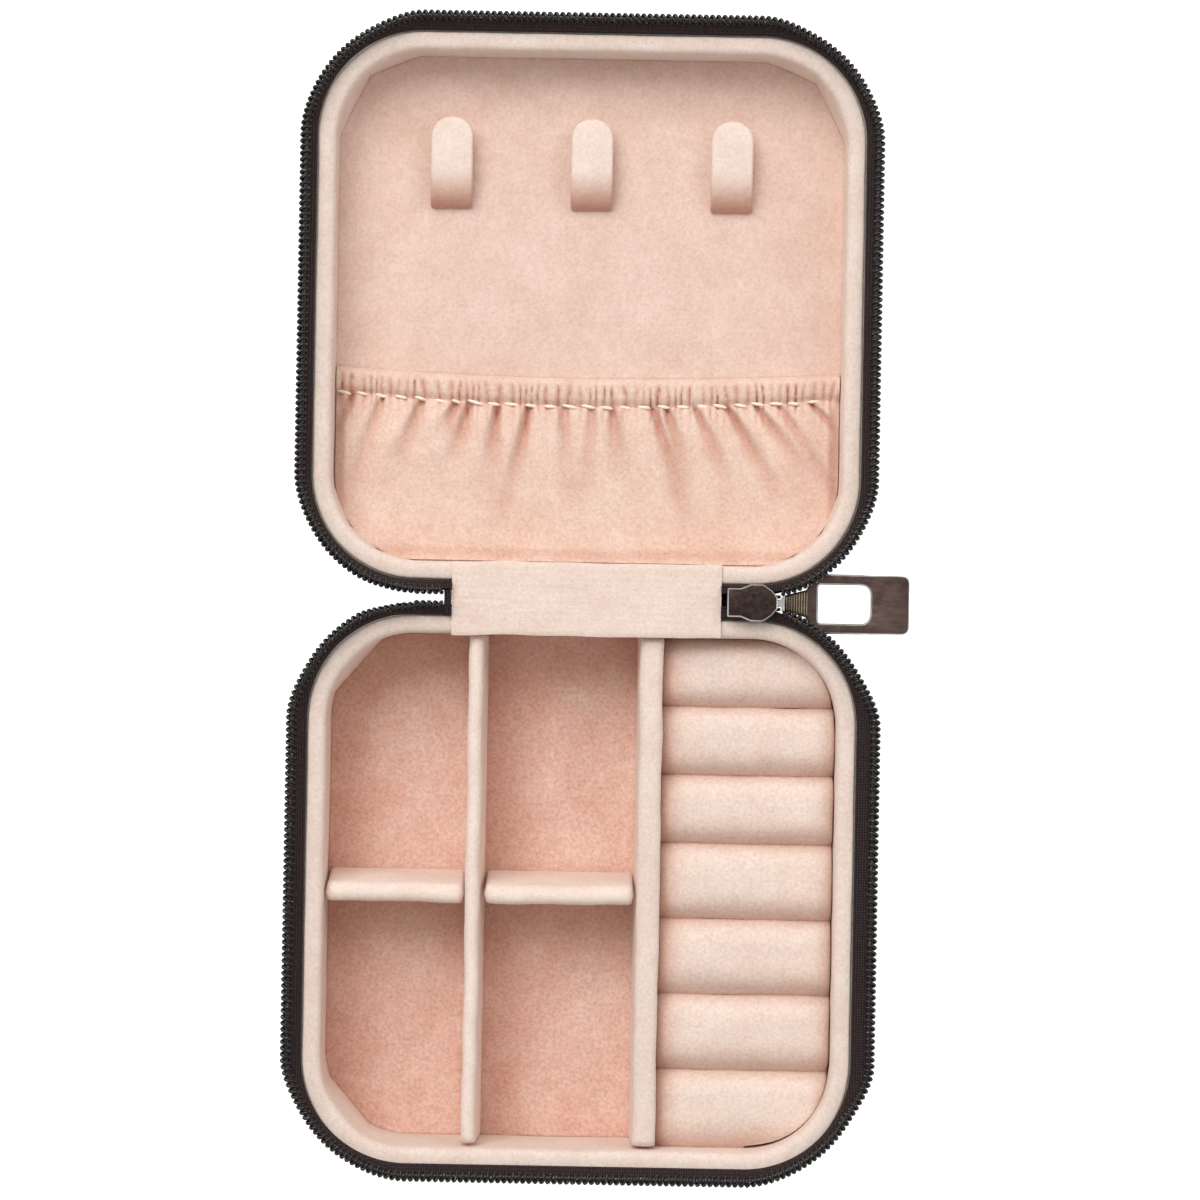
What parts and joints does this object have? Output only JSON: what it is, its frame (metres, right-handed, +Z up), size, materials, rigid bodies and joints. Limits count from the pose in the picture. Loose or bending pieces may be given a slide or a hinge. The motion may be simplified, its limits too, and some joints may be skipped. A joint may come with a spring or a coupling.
{
  "type": "travel jewelry case",
  "caption": "Square zip-round travel jewelry case that opens flat, with velvet compartments, ring rolls, necklace hooks and an elastic pocket.",
  "frame": {"origin": "centre of the base's underside", "axes": "+Z up from the table, +Y from the base towards the open lid, +X to the right"},
  "size_m": [0.105, 0.1984, 0.0248],
  "materials": {
    "leather": "black fine-grained leatherette",
    "board": "moulded board, hidden",
    "velvet": "blush velvet",
    "foam": "foam, hidden",
    "tape": "black woven zip tape",
    "coil": "black nylon coil",
    "metal": "polished gunmetal"
  },
  "bodies": {
    "base": {"base_cover": "leather", "base_board": "board", "base_lining": "velvet", "base_floor_pad": "velvet", "base_zip_tape": "tape", "base_zip_coil": "coil", "base_zip_tail_left": "tape", "base_zip_tail_right": "tape", "base_strip_lap": "velvet", "long_divider": "velvet", "roll_divider": "velvet", "ring_roll_1": "velvet", "ring_roll_2": "velvet", "ring_roll_3": "velvet", "ring_roll_4": "velvet", "ring_roll_5": "velvet", "ring_roll_6": "velvet", "ring_roll_7": "velvet"},
    "lid": {"lid_cover": "leather", "lid_board": "board", "lid_lining": "velvet", "lid_foam": "foam", "lid_panel": "velvet", "lid_zip_tape": "tape", "lid_zip_coil": "coil", "lid_zip_tail_left": "tape", "lid_zip_tail_right": "tape", "lid_strip_lap": "velvet", "hook_1": "velvet", "hook_2": "velvet", "hook_3": "velvet", "pocket_cloth": "velvet", "pocket_header": "velvet"},
    "spine": {"hinge_strip": "velvet", "hinge_leather": "leather", "zip_end_stop": "metal"},
    "slider": {"zip_slider": "metal"},
    "pull": {"zip_pull": "metal"},
    "left_divider": {"cross_divider_left": "velvet"},
    "right_divider": {"cross_divider_right": "velvet"}
  },
  "joints": [
    {"name": "spine_fold", "type": "hinge", "parent": "base", "child": "spine", "pos_m": [0, 0.046, 0.0218], "axis": [1, 0, 0], "range_deg": [0, 90], "deforming": ["hinge_leather", "base_zip_tail_left", "base_zip_tail_right"]},
    {"name": "lid_fold", "type": "hinge", "parent": "spine", "child": "lid", "pos_m": [0, 0.0524, 0.0218], "axis": [1, 0, 0], "range_deg": [0, 90], "deforming": ["lid_zip_tail_left", "lid_zip_tail_right"]},
    {"name": "slider_travel", "type": "slide", "parent": "spine", "child": "slider", "axis": [1, 0, 0], "range_m": [0, 0.006]},
    {"name": "pull_swing", "type": "hinge", "parent": "slider", "child": "pull", "pos_m": [0.0322, 0.0492, 0.02055], "axis": [0, 1, 0], "range_deg": [0, 12]},
    {"name": "left_divider_lift", "type": "slide", "parent": "base", "child": "left_divider", "axis": [0, 0, 1], "range_m": [0, 0.018]},
    {"name": "right_divider_lift", "type": "slide", "parent": "base", "child": "right_divider", "axis": [0, 0, 1], "range_m": [0, 0.018]}
  ],
  "couplings": [
    {"joint": "lid_fold", "follows": "spine_fold", "ratio": 1}
  ]
}
